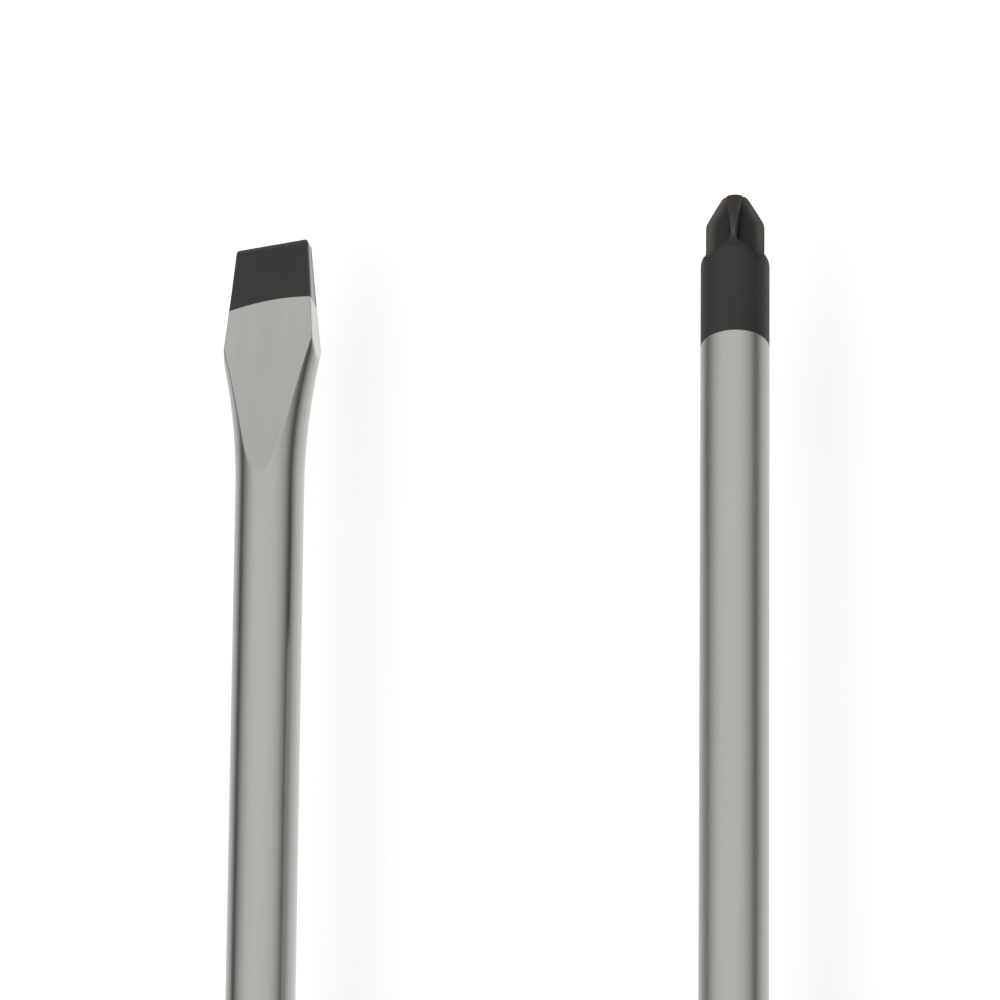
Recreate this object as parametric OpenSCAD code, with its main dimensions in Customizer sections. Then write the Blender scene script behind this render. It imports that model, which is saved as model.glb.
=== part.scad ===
// A pair of straight hand screwdrivers, one slotted and one cross-head, lying side by side.
// Each driver is drawn about its own axis: z = 0 is the nose of the handle, the tip is at
// +z and the handle runs to -z. Distances along a handle are counted back from its nose,
// and distances along a blade are counted down from its tip. Millimetres.

/* [Set] */
// Distance between the two shank axes
axis_pitch = 41.7; // [36:0.1:60]
// How far the slotted driver reaches past the cross-head driver
tip_stagger = 2.2; // [0:0.1:20]
// Turn of the slotted blade about its own axis, in degrees
slotted_roll = -2.5; // [-30:0.5:30]
// Turn of the cross-head blade about its own axis, in degrees
cross_roll = 10; // [-45:1:45]

/* [Blade] */
// Diameter of the round shank
shank_d = 6; // [5.5:0.1:6.4]
// Length of the blade in front of the handle
blade_l = 100; // [90:1:200]
// Length of the tang inside the handle
tang_l = 62; // [56:1:70]
// Diameter of the tang
tang_d = 5.4; // [5:0.1:5.8]
// How far the full shank goes into the nose of the handle
shank_seat = 1; // [0.5:0.25:4]
// Width across the wings that are pressed out of the tang
tang_wing_w = 8.4; // [7:0.1:9]
// Thickness of a tang wing
tang_wing_t = 1.8; // [1:0.1:2.4]
// Length of a tang wing
tang_wing_l = 9; // [6:0.5:12]

/* [Slotted tip] */
// Width of the tip
slot_w = 6.5; // [5.5:0.1:7]
// Thickness of the tip
slot_t = 1.2; // [0.8:0.1:1.6]
// Width that the trimmed sides reach at the flare
flare_w = 8.4; // [7.6:0.1:8.8]
// Distance from the tip to where they reach it
flare_l = 13; // [10:0.1:15]
// Length over which the faces are ground and the bar is spread
grind_l = 26; // [22:0.1:30]
// Radius of the curve that spreads the bar into the flare
flare_arc_r = 75; // [70:1:90]
// Length of the blackened end of the slotted blade
slot_black_l = 6.2; // [4:0.1:10]

/* [Cross tip] */
// Diameter of the flat at the very end
cross_end_d = 2.3; // [1.8:0.1:2.6]
// Half angle of the point, in degrees
cross_cone = 26.5; // [24:0.5:30]
// Diameter over the four wings
cross_wing_d = 5.1; // [4.8:0.1:5.4]
// Length of the wings, from the end to the shoulder behind them
cross_wing_l = 6; // [5.2:0.1:7]
// Length of the chamfer at the shoulder
cross_shoulder_l = 0.85; // [0.5:0.05:1.5]
// Distance from the axis to the bottom of a flute, at the end of the tip
flute_root = 1.05; // [0.95:0.05:1.1]
// Half angle of a flute's section, in degrees
flute_half_angle = 49; // [46:1:51]
// Fall of a flute's bottom towards the axis, away from the end, in degrees
flute_fall = 6.5; // [5.5:0.5:7]
// Distance from the end to where a flute starts to run out
flute_l = 4.9; // [3.8:0.1:5.4]
// Radius of the curve on which a flute runs out
flute_runout_r = 2.8; // [2.4:0.1:3.2]
// Length of the blackened end of the cross-head blade
cross_black_l = 16; // [10:0.1:24]

/* [Handle] */
// Length of the handle
handle_l = 105; // [100:1:120]
// Width of the handle across its flats
handle_af = 28; // [26:0.5:30]
// Diameter of the nose, where the shank comes out
nose_d = 14; // [12:0.5:16]
// Diameter over the rounded corners of the guard
guard_d = 30.8; // [29:0.1:33]
// Distance from the nose to the middle of the guard
guard_u = 13; // [11:0.5:15]
// Diameter of the neck behind the guard
neck_d = 21.6; // [20:0.1:24]
// Distance from the nose to the middle of the neck
neck_u = 33; // [30:0.5:38]
// Diameter over the rounded corners of the palm swell
palm_d = 32.2; // [30:0.1:34]
// Distance from the rear end to the middle of the palm swell
palm_back = 35; // [30:0.5:40]
// Diameter of the rear end, before it is rounded
tail_d = 25; // [22:0.5:28]
// Radius of the rounded rear edge
tail_round = 4; // [2:0.25:5]

/* [Grip, ring and cap] */
// Thickness of the soft grip and of the marker ring
grip_t = 2.4; // [1.6:0.1:2.8]
// Distance from the nose to the front of the marker ring
ring_u = 19; // [17:0.5:21]
// Width of the marker ring
ring_w = 3; // [2:0.25:4]
// Length of the hard rear end behind the grip
rear_l = 20; // [18:0.5:23]
// Number of finger grooves around the neck
groove_n = 6; // [3:1:8]
// Spacing of the finger grooves
groove_pitch = 3.4; // [2.8:0.1:4]
// Radius of a finger groove
groove_r = 0.9; // [0.5:0.05:1.2]
// Depth of a finger groove
groove_depth = 0.6; // [0.3:0.05:0.9]
// Number of fine treads across each flat of the palm swell
tread_n = 9; // [4:1:12]
// Spacing of the treads
tread_pitch = 3; // [2.4:0.1:3.6]
// Radius of a tread's hollow
tread_r = 0.8; // [0.5:0.05:1]
// Depth of a tread's hollow
tread_depth = 0.4; // [0.2:0.05:0.6]
// Length of a tread across its flat
tread_w = 9; // [6:0.5:12]
// Diameter of the end cap
cap_d = 15; // [12:0.5:16]
// Thickness of the end cap at its rim
cap_t = 2.6; // [2:0.1:3]
// Height of the end cap's dome
cap_dome = 0.8; // [0.3:0.1:1.2]
// Length of the slot or cross mark in the cap
mark_l = 8; // [6:0.5:9]
// Width of the mark
mark_w = 1.4; // [1:0.1:2]
// Depth of the mark
mark_depth = 0.7; // [0.4:0.1:1]

/* [Hanging hole] */
// Diameter of the hanging hole
hang_d = 7; // [5:0.5:8]
// Distance from the rear end to the hanging hole
hang_back = 11.5; // [11:0.5:13]
// Length of the hole's straight wall
hang_wall = 23; // [20:0.5:24]

/* [Inner core] */
// Width across the corners of the six-sided inner core
core_corner_d = 12.8; // [12:0.1:13.4]
// Distance from the nose to the front of the inner core
core_u = 6; // [4:0.5:8]
// Length of the inner core behind the end of the tang
core_tail = 5; // [3:0.5:8]

/* [Fits] */
// Gap between pieces that are moulded or pressed together
fit_gap = 0.03; // [0.02:0.01:0.06]

/* [Hidden] */

// How far a cut reaches past what it cuts
overrun = 1;
// Chamfer at the end of the tang
tang_chamfer = 1;
// Distance from the nose to the middle of the front and of the rear tang wings
tang_wing_front_u = 20;
tang_wing_rear_u = 46;
// Slope of the slotted faces at the very tip, as a share
face_slope_share = 0.03;
// How late the slotted faces rise to the surface of the shank, as a power
face_power = 1.6;
// Radius of the small bead that snaps the cap into its pocket
cap_bead_r = 0.3;
// Slope of the countersinks at the hanging hole, in degrees
hang_countersink = 45;

round_fn = 64;
spread_steps = 16;
outline_steps = 9;
edge_steps = 5;

shank_r = shank_d / 2;
tang_r = tang_d / 2;
handle_flat = handle_af / 2;
grip_u = ring_u + ring_w;
grip_end_u = handle_l - rear_l;
palm_u = handle_l - palm_back;
hang_u = handle_l - hang_back;
set_l = handle_l + cap_dome + blade_l + tip_stagger;
slotted_nose_y = set_l / 2 - blade_l;
cross_nose_y = slotted_nose_y - tip_stagger;
slotted_x = -axis_pitch / 2;
cross_x = axis_pitch / 2;

chrome = [0.72, 0.72, 0.70];
black_finish = [0.17, 0.17, 0.16];
hard_plastic = [0.11, 0.20, 0.29];
core_plastic = [0.75, 0.74, 0.70];
marker_plastic = [0.62, 0.64, 0.66];
soft_plastic = [0.09, 0.09, 0.10];

// Lays a driver on one flat of its handle, with the tip towards +Y
module lay(x, nose_y)
    translate([x, nose_y, handle_flat]) rotate([-90, 0, 0]) children();

// Turns what is drawn from the tip inwards so that it sits at the end of a blade
module at_tip()
    translate([0, 0, blade_l]) rotate([180, 0, 0]) children();

// Smooth step from a to b as t goes from 0 to 1
function ease(a, b, t) = a + (b - a) * (1 - cos(180 * t)) / 2;

// Places and radii that the outline of the handle passes through, level at each
handle_stations = [[0, nose_d / 2], [guard_u, guard_d / 2], [neck_u, neck_d / 2],
    [palm_u, palm_d / 2], [handle_l, tail_d / 2]];

// Radius of the handle's turned outline at a distance u behind the nose
function handle_r(u) =
    let (last = len(handle_stations) - 1,
         i = min([for (k = [0:last]) if (k == last || u <= handle_stations[min(k + 1, last)][0]) k]),
         from = handle_stations[min(i, last - 1)],
         to = handle_stations[min(i + 1, last)])
    ease(from[1], to[1], (u - from[0]) / (to[0] - from[0]));

// Distances from one place to another at which an outline is drawn, stations among them
function outline_us(from, to) =
    let (stops = concat([from], [for (p = handle_stations) if (p[0] > from && p[0] < to) p[0]], [to]))
    concat([from], [for (k = [1:len(stops) - 1], j = [1:outline_steps])
        stops[k - 1] + (stops[k] - stops[k - 1]) * j / outline_steps]);

// The handle's form between two distances from the nose, taken in by an inset
module handle_form(from, to, inset) {
    us = outline_us(from, to);
    intersection() {
        rotate_extrude($fn = round_fn)
            polygon(concat([[0, -to], [0, -from]], [for (u = us) [handle_r(u) - inset, -u]]));
        translate([0, 0, -to])
            cylinder(r = (handle_flat - inset) / cos(30), h = to - from, $fn = 6);
    }
}

// What is left of the rear end once its edge is rounded
module tail_envelope() {
    edge_r = handle_r(handle_l - tail_round);
    rotate_extrude($fn = round_fn)
        polygon(concat(
            [[0, -handle_l], [0, 0], [handle_af, 0], [handle_af, tail_round - handle_l],
             [edge_r, tail_round - handle_l]],
            [for (k = [1:edge_steps])
                [edge_r - tail_round * (1 - cos(90 * k / edge_steps)),
                 tail_round - handle_l - tail_round * sin(90 * k / edge_steps)]]));
}

// The tang and its two crossed pairs of wings, grown by a gap where it is a cavity
module tang(gap) {
    translate([0, 0, tang_chamfer - tang_l])
        cylinder(r = tang_r + gap, h = tang_l - tang_chamfer, $fn = round_fn);
    translate([0, 0, -tang_l - gap])
        cylinder(r1 = tang_r - tang_chamfer / 2 + gap, r2 = tang_r + gap,
            h = tang_chamfer + gap, $fn = round_fn);
    for (wing = [[tang_wing_front_u, 0], [tang_wing_rear_u, 90]])
        translate([0, 0, -wing[0]]) rotate([0, 0, wing[1]])
            cube([tang_wing_w + 2 * gap, tang_wing_t + 2 * gap, tang_wing_l + 2 * gap], center = true);
}

// Radius of the spread bar, and half thickness between the ground faces, at s from the tip
function spread_r(s) = shank_r + pow(grind_l - s, 2) / (2 * flare_arc_r);
face_rise = shank_r - slot_t / 2 - face_slope_share * grind_l;
function face_half(s) = slot_t / 2 + face_slope_share * s + face_rise * pow(s / grind_l, face_power);

// Distances from the tip at which the spread bar and its faces are drawn
spread_places = [for (i = [0:spread_steps]) grind_l * i / spread_steps];

// The bar as it is spread by forging, before its faces and sides are ground away
module spread_bar()
    rotate_extrude($fn = round_fn)
        polygon(concat([[0, 0]], [for (s = spread_places) [spread_r(s), s]], [[0, grind_l]]));

// Side view of the two hollow-ground faces, drawn from the tip inwards
module ground_faces() {
    half = [for (s = spread_places) [face_half(s), s]];
    back = [for (i = [spread_steps:-1:0]) [-half[i][0], half[i][1]]];
    rotate([90, 0, 90]) linear_extrude(height = 2 * flare_w, center = true)
        polygon(concat(half, back));
}

// Front view of the trimmed sides, drawn from the tip inwards
module trimmed_sides() {
    side_slope = (flare_w - slot_w) / 2 / flare_l;
    far_half = slot_w / 2 + side_slope * grind_l;
    rotate([90, 0, 0]) linear_extrude(height = 2 * shank_d, center = true)
        polygon([[-slot_w / 2, 0], [slot_w / 2, 0], [far_half, grind_l], [-far_half, grind_l]]);
}

// The forged and ground end of the slotted blade, drawn from the tip inwards
module slotted_end()
    intersection() {
        spread_bar();
        ground_faces();
        trimmed_sides();
    }

// A slice of a blade between two distances from its tip, to colour it by length
module tip_slice(from, to)
    translate([0, 0, from]) cylinder(r = flare_w, h = to - from, $fn = round_fn);

module slotted_blade()
    rotate([0, 0, slotted_roll]) {
        color(chrome) {
            translate([0, 0, -shank_seat])
                cylinder(r = shank_r, h = blade_l - grind_l + shank_seat, $fn = round_fn);
            tang(0);
            at_tip() intersection() {
                slotted_end();
                tip_slice(slot_black_l, grind_l);
            }
        }
        color(black_finish) at_tip() intersection() {
            slotted_end();
            tip_slice(0, slot_black_l);
        }
    }

// One flute of the cross tip, open towards +x, drawn from the tip inwards
module flute() {
    depth = shank_d;
    half = depth * tan(flute_half_angle);
    runout_x = flute_root - flute_l * tan(flute_fall) + flute_runout_r;
    translate([flute_root, 0, 0]) rotate([0, -flute_fall, 0]) translate([0, 0, -overrun])
        linear_extrude(height = flute_l + overrun)
            polygon([[0, 0], [depth, -half], [depth, half]]);
    translate([runout_x, 0, flute_l]) rotate([90, 0, 0])
        rotate_extrude($fn = round_fn)
            polygon([[0, -flute_runout_r * tan(flute_half_angle)], [flute_runout_r, 0],
                [0, flute_runout_r * tan(flute_half_angle)]]);
}

// The cross-head end down to the end of its black finish, drawn from the tip inwards
module cross_end() {
    end_r = cross_end_d / 2;
    wing_r = cross_wing_d / 2;
    cone_l = (wing_r - end_r) / tan(cross_cone);
    difference() {
        rotate_extrude($fn = round_fn)
            polygon([[0, 0], [end_r, 0], [wing_r, cone_l], [wing_r, cross_wing_l],
                [shank_r, cross_wing_l + cross_shoulder_l], [shank_r, cross_black_l],
                [0, cross_black_l]]);
        for (a = [0:90:270]) rotate([0, 0, a + 45]) flute();
    }
}

module cross_blade()
    rotate([0, 0, cross_roll]) {
        color(chrome) {
            translate([0, 0, -shank_seat])
                cylinder(r = shank_r, h = blade_l - cross_black_l + shank_seat, $fn = round_fn);
            tang(0);
        }
        color(black_finish) at_tip() cross_end();
    }

// The hard inner core that is moulded straight onto the tang
module handle_core(roll)
    color(core_plastic) difference() {
        translate([0, 0, -tang_l - core_tail])
            cylinder(r = core_corner_d / 2, h = tang_l + core_tail - core_u, $fn = 6);
        rotate([0, 0, roll]) tang(fit_gap);
    }

// The hanging hole and its two countersinks, across the axis
module hang_cut() {
    sink_h = handle_flat - hang_wall / 2 + overrun;
    translate([0, 0, -hang_u]) rotate([90, 0, 0]) {
        cylinder(d = hang_d, h = handle_af + 2 * overrun, center = true, $fn = round_fn);
        for (side = [0, 180]) rotate([side, 0, 0]) translate([0, 0, hang_wall / 2])
            cylinder(r1 = hang_d / 2, r2 = hang_d / 2 + sink_h * tan(hang_countersink),
                h = sink_h, $fn = round_fn);
    }
}

// The end cap's outline, grown by a gap where it is the pocket
module cap_form(gap) {
    rim = cap_d / 2 + gap;
    bead = cap_t / 2;
    translate([0, 0, -handle_l]) {
        cylinder(r = rim, h = cap_t + gap, $fn = round_fn);
        translate([0, 0, bead]) rotate_extrude($fn = round_fn)
            translate([rim, 0]) circle(r = cap_bead_r, $fn = round_fn / 2);
    }
}

module handle_body()
    color(hard_plastic) difference() {
        intersection() {
            union() {
                handle_form(0, ring_u, 0);
                handle_form(ring_u - overrun, grip_end_u + overrun, grip_t);
                handle_form(grip_end_u, handle_l, 0);
            }
            tail_envelope();
        }
        translate([0, 0, -core_u - fit_gap])
            cylinder(r = shank_r + fit_gap, h = core_u + fit_gap + overrun, $fn = round_fn);
        translate([0, 0, -tang_l - core_tail - fit_gap])
            cylinder(r = core_corner_d / 2 + fit_gap, h = tang_l + core_tail - core_u + 2 * fit_gap,
                $fn = 6);
        hang_cut();
        cap_form(fit_gap);
        translate([0, 0, -handle_l - overrun])
            cylinder(r = cap_d / 2 + fit_gap, h = 2 * overrun, $fn = round_fn);
    }

module marker_ring()
    color(marker_plastic) difference() {
        handle_form(ring_u + fit_gap, grip_u - fit_gap, 0);
        handle_form(ring_u, grip_u, grip_t - fit_gap);
    }

// Rings cut around the neck, where the fingers turn the driver
module finger_grooves()
    for (i = [0:groove_n - 1]) {
        u = neck_u + (i - (groove_n - 1) / 2) * groove_pitch;
        translate([0, 0, -u]) rotate_extrude($fn = round_fn)
            translate([handle_r(u) + groove_r - groove_depth, 0]) circle(r = groove_r, $fn = round_fn / 2);
    }

// Short hollows across each flat of the palm swell
module palm_treads()
    for (side = [0:60:300], i = [0:tread_n - 1]) {
        u = palm_u + (i - (tread_n - 1) / 2) * tread_pitch;
        rotate([0, 0, side]) translate([0, handle_flat + tread_r - tread_depth, -u])
            rotate([0, 90, 0]) cylinder(r = tread_r, h = tread_w, center = true, $fn = round_fn / 2);
    }

module grip()
    color(soft_plastic) difference() {
        handle_form(grip_u, grip_end_u - fit_gap, 0);
        handle_form(grip_u - fit_gap, grip_end_u, grip_t - fit_gap);
        finger_grooves();
        palm_treads();
    }

// The end cap, marked with as many bars as its driver's tip has: one for a slot, two for a cross
module end_cap(bars)
    color(marker_plastic) difference() {
        union() {
            cap_form(0);
            translate([0, 0, -handle_l]) rotate([180, 0, 0])
                cylinder(r1 = cap_d / 2, r2 = cap_d / 2 - cap_dome, h = cap_dome, $fn = round_fn);
        }
        for (i = [0:bars - 1])
            translate([0, 0, -handle_l - cap_dome]) rotate([0, 0, 90 * i])
                cube([mark_l, mark_w, 2 * mark_depth], center = true);
    }

lay(slotted_x, slotted_nose_y) slotted_blade();
lay(slotted_x, slotted_nose_y) handle_core(slotted_roll);  // slotted_handle_core
lay(slotted_x, slotted_nose_y) handle_body();  // slotted_handle_body
lay(slotted_x, slotted_nose_y) marker_ring();  // slotted_marker_ring
lay(slotted_x, slotted_nose_y) grip();  // slotted_grip
lay(slotted_x, slotted_nose_y) end_cap(1);  // slotted_end_cap
lay(cross_x, cross_nose_y) cross_blade();
lay(cross_x, cross_nose_y) handle_core(cross_roll);  // cross_handle_core
lay(cross_x, cross_nose_y) handle_body();  // cross_handle_body
lay(cross_x, cross_nose_y) marker_ring();  // cross_marker_ring
lay(cross_x, cross_nose_y) grip();  // cross_grip
lay(cross_x, cross_nose_y) end_cap(2);  // cross_end_cap
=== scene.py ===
# The looks of a pair of straight hand screwdrivers, one slotted and one cross-head, that lie
# side by side. Sizes are in millimetres about each driver's own axis: y is 0 at the nose of the
# handle, the tip is at +y and the handle runs to -y. They become metres when a mesh is made.
import math

import bmesh
import bpy
from mathutils import Matrix, Vector


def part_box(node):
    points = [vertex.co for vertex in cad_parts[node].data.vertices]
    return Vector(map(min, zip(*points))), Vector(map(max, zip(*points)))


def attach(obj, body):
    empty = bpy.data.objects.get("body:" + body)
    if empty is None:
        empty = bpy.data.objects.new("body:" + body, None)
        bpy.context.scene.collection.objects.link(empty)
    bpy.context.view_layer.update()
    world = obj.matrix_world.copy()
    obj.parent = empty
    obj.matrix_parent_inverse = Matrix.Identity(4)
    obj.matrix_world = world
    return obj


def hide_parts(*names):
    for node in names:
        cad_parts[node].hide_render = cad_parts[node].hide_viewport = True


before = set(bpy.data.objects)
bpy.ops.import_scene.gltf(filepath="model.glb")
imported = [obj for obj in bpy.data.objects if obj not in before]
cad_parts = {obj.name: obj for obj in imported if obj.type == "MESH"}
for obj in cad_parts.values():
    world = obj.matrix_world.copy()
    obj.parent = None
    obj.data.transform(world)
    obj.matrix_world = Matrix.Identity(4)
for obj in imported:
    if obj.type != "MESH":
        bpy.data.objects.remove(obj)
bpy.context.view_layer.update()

MM = 0.001
MERGE_DIST = 1e-7
# Smallest number that a size is divided by, and the angle from which an edge is shaded crisp
LEAST = 1e-3
SHARP_ANGLE = math.radians(32)

# Blades: the shank, its seat in the nose, and the tang with its two crossed pairs of wings
BLADE_L = 100.0
SHANK_R = 3.0
SHANK_SEAT = 1.0
SEAT_EDGE = 0.05
TANG_R = 2.7
TANG_L = 62.0
TANG_CHAMFER = 1.0
WING_W = 8.4
WING_T = 1.8
WING_L = 9.0
FRONT_WING_U = 20.0
REAR_WING_U = 46.0
# Gap between a tip's last ring of points and the first of its plain shank, and the steps along it
RING_GAP = 0.4
SHANK_RINGS_N = 16

# Slotted tip: its turn in the handle, its end, its widest place, how far it is ground, the arc
# that spreads it and the slope and curve of its faces
SLOTTED_ROLL = math.radians(-2.5)
SLOT_W = 6.5
SLOT_T = 1.2
FLARE_W = 8.4
FLARE_L = 13.0
GRIND_L = 26.0
FLARE_ARC_R = 75.0
FACE_SLOPE = 0.03
FACE_POWER = 1.6
# Rings of points at its very end, as the place from the tip and how far each is drawn in, and
# where the evenly spaced rings behind them start and how far they run past the ground faces
SLOT_END_RINGS = ((0.0, 0.09), (0.015, 0.05), (0.045, 0.02), (0.09, 0.0), (0.13, 0.0), (0.18, 0.0))
SLOT_RINGS_START = 0.25
SLOT_RINGS_OVERRUN = 0.6
SLOT_RINGS_N = 100
# Points across a side, which crowd towards its ends as the sine of this turn, across a face and
# around a rounded edge, the edge's size and the half width of the narrowest face
SLOT_SIDE_N = 20
SLOT_SIDE_TURN = 1.5
SLOT_FACE_N = 12
SLOT_CORNER_N = 4
SLOT_CORNER = 0.07
LEAST_FACE = 0.3
# Radius to which use has rounded the two corners of the tip, seen from above
END_CORNER = 0.28
# How far use has rubbed the finish from the end, which also stands for a painted highlight on the end's
# edges, and how far in from its edges a side brightens with a painted highlight over its bare steel
END_WEAR_L = 0.6
SIDE_FADE = 0.4

# Cross tip: its turn in the handle, its end, its cone, the radius over its wings, its shoulder,
# its flutes with their run-out, and the blend between the cone and the wings
CROSS_ROLL = math.radians(10)
END_R = 1.15
CONE = math.radians(26.5)
CROSS_WING_R = 2.55
SHOULDER_START = 5.7
SHOULDER_END = 7.1
FLUTE_ROOT = 1.05
FLUTE_HALF = math.radians(49)
FLUTE_FALL = math.radians(6.5)
FLUTE_L = 4.9
RUNOUT_R = 2.8
CONE_BLEND = 0.12
# Rings of points at its very end, as the place from the tip and the share of the radius, and
# where the evenly spaced rings behind them start and end
CROSS_END_RINGS = ((0.0, 0.35), (0.0, 0.7), (0.0, 0.86), (0.03, 0.94), (0.09, 0.985))
CROSS_RINGS_START = 0.16
CROSS_RINGS_END = 8.2
CROSS_RINGS_N = 150
# Points around the cross tip, the digits by which their angles are told apart, and the rounding
# of the edges between its flutes and its wings
CROSS_N = 360
ANGLE_DIGITS = 5
CROSS_EDGE = 0.07
# Search for the wall of a flute's run-out: how far it goes past the shank's surface, its steps
# outwards and then its halvings
FLUTE_PAST = 0.2
FLUTE_STEPS = 40
FLUTE_HALVINGS = 12
# Wear on a wing, partly rubbed finish and partly a painted highlight on the wings' rims: how far it
# reaches over its back, how far down its walls it is full and ends, under what half width a back is
# rubbed all over, and the share of it on the upper and lower wings, kept small so that the painted
# highlight falls mostly on the side wings
WORN_BACK = 0.2
WORN_FULL = 0.4
WORN_END = 1.1
WORN_THIN = 0.38
UPPER_WEAR_AND_HIGHLIGHT = 0.3
# Depth at which a flute is all dark with painted shade
FLUTE_SHADE_DEPTH = 0.9

# Handle: places and radii of its outline, half width across the flats, and its sleeves
STATIONS = ((0.0, 7.0), (13.0, 15.4), (33.0, 10.8), (70.0, 16.1), (105.0, 12.5))
HANDLE_L = 105.0
FLAT = 14.0
TAIL_ROUND = 4.0
GRIP_T = 2.4
RING_U = 19.0
GRIP_U = 22.0
GRIP_END_U = 85.0
# End cap: size, chamfer of its inner rim, the ring in front of its shoulder, how high and how wide
# the shoulder is, and its points
CAP_R = 7.5
CAP_T = 2.6
CAP_DOME = 0.8
CAP_RIM = 0.25
CAP_STEP = 0.02
CAP_LIP = 0.12
CAP_SHOULDER = 0.3
CAP_N = 120
CAP_DOME_N = 24
# Mark on the cap, and its walls, as the height over its floor and how far each is opened
MARK_L = 8.0
MARK_W = 1.4
MARK_DEPTH = 0.7
MARK_WALLS = ((0.0, -0.12), (0.08, -0.03), (0.25, 0.0), (1.9, 0.15))
MARK_N = 48
# Core, and the gap between any two pieces
CORE_R = 6.4
CORE_U = 6.0
CORE_END_U = 67.0
FIT_GAP = 0.03
# Points around the handle, rings along its ends and its recess, and the blend beside its flats
HANDLE_N = 180
BODY_RINGS_N = 40
RECESS_RINGS_N = 60
FLAT_BLEND = 0.5
# Rounding of the nose, of the grip's rims and of the body's and the marker ring's rims, and the
# steps around the nose, around a rim and around the tail
NOSE_EDGE = 0.9
GRIP_EDGE = 0.3
BODY_EDGE = 0.25
NOSE_EDGE_N = 6
EDGE_N = 4
TAIL_N = 14
# How much the nose swells at its rounding, and the gap behind it to the next ring of points
NOSE_SWELL = 0.001
NOSE_GAP = 0.3
# Mouths of the blade's hole and of the cap's pocket, as the depth and how far each is opened
HOLE_MOUTH = ((0.3, 0.0), (0.1, 0.05), (0.0, 0.3))
POCKET_MOUTH = ((0.0, 0.25), (0.07, 0.07), (0.25, 0.0))
# Hanging hole: place, size and length of its straight wall, points around it and around its
# rounded mouths, and how far its cutter runs past the flats
HANG_U = 93.5
HANG_R = 3.5
HANG_WALL = 23.0
HANG_N = 96
HANG_MOUTH_N = 12
OVERRUN = 1.0

# Finger grooves around the neck and treads across the flats of the palm swell, the width of the
# treads and how they fade at their ends, and the softness of a hollow's edge
GROOVES = {"middle": 33.0, "count": 6, "pitch": 3.4, "radius": 0.9, "depth": 0.6}
TREADS = {"middle": 70.0, "count": 9, "pitch": 3.0, "radius": 0.8, "depth": 0.4}
TREAD_W = 9.0
TREAD_FADE = 0.8
HOLLOW_EDGE = 0.12
# Spacing of the rings along the grip, along the marker ring and along the inside of either
GRIP_STEP = 0.25
RING_STEP = 0.4
INNER_STEP = 2.0

# Camera: how far its line of sight is tilted towards the handles and swung to the right, how
# far it is rolled, its focal length and its scale at the cross tip, which falls on TIP_PX, and
# the nearest and farthest that it sees, in metres
TILT = math.radians(35)
SWING = math.radians(15)
ROLL = math.radians(0.59)
IMAGE_PX = 1000.0
FOCAL_PX = 20200.0
PX_PER_MM = 11.47
TIP_PX = (735.3, 201.5)
SENSOR_MM = 36.0
CLIP_NEAR = 0.05
CLIP_FAR = 100.0

# Surface of each blade: the chrome's roughness, how far the black finish reaches from the tip, how
# far its line bulges and leans over one radius of the shank, and how far the brown tint reaches
BLADE_FINISH = {
    "slotted": {"polish": 0.18, "black_l": 6.49, "bulge": 0.25, "lean": 0.04, "tint_l": 0.5},
    "cross": {"polish": 0.30, "black_l": 15.78, "bulge": -0.11, "lean": 0.0, "tint_l": 4.0},
}
# How much the chrome's roughness varies, how ragged and how blurred the black's line is, how bare
# the slotted tip's sides are, how strongly edges are rubbed and lit by a painted highlight, and how much
# grain breaks that up
CHROME_UNEVEN = 0.03
BLACK_RAGGED = 0.12
BLACK_BLUR = 0.04
SIDE_BARE = 0.6
WEAR_AND_HIGHLIGHT_AMOUNT = 0.6
WEAR_AND_HIGHLIGHT_BREAKUP = 0.9
BLACK_ROUGHNESS = (0.46, 0.58)
# Lines of the polish: how far their noise is squeezed along the blade, and their share of the bumps
LINE_SQUEEZE = 0.04
LINE_SHARE = 0.12
# Colours as red, green and blue, two of them where clouds blend one into the other
CHROME = ((0.60, 0.597, 0.578), (0.63, 0.627, 0.608))
# Steel of the slotted tip's trimmed sides: bare steel made brighter than the chrome as a painted
# highlight
SIDE_STEEL_AND_HIGHLIGHT = (0.79, 0.785, 0.77)
BLACK = ((0.020, 0.0193, 0.0178), (0.028, 0.0268, 0.025))
BROWN_TINT = (0.038, 0.027, 0.018)
# Painted shade in the flutes, darkest at their bottoms
FLUTE_PAINTED_SHADE = (0.009, 0.0085, 0.008)
# Rubbed black: partly real wear, partly a painted highlight on edges and on the side wings' rims
WORN_BLACK_AND_HIGHLIGHT = (0.13, 0.115, 0.098)
RUBBER = ((0.014, 0.014, 0.015), (0.024, 0.024, 0.026))
# Plastics: the material's name, its colours, its roughness and the depth of its texture
HARD_PLASTIC = ("hard_blue_plastic", ((0.008, 0.024, 0.052), (0.012, 0.032, 0.066)), 0.32, 0.012)
MARKER_PLASTIC = ("pale_marker_plastic", ((0.33, 0.35, 0.37), (0.38, 0.40, 0.42)), 0.36, 0.01)
CORE_PLASTIC = ("core_plastic", ((0.50, 0.49, 0.44), (0.56, 0.54, 0.49)), 0.5, 0.02)
PLASTIC_UNEVEN = (0.05, 0.06)
RUBBER_BASE_ROUGHNESS = 0.72
RUBBER_ROUGHNESS = (0.64, 0.8)
RUBBER_CELLS = 2600.0
CELL_SHARE = 0.7
SHEEN = 0.12
SHEEN_ROUGHNESS = 0.5
# Noise of each surface, and the middle part of a noise that is spread over a whole range
STEEL_NOISE = {"Grain_per_metre": 5200.0, "Clouds_per_metre": 70.0}
LINE_NOISE = {"Grain_per_metre": 6500.0, "Clouds_per_metre": 900.0}
PLASTIC_NOISE = {"Grain_per_metre": 3000.0, "Clouds_per_metre": 55.0}
RUBBER_NOISE = {"Grain_per_metre": 1900.0, "Clouds_per_metre": 38.0}
NOISE_MIDDLE = (0.3, 0.7)
RUBBER_CLOUDS = (0.35, 0.7)
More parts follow.
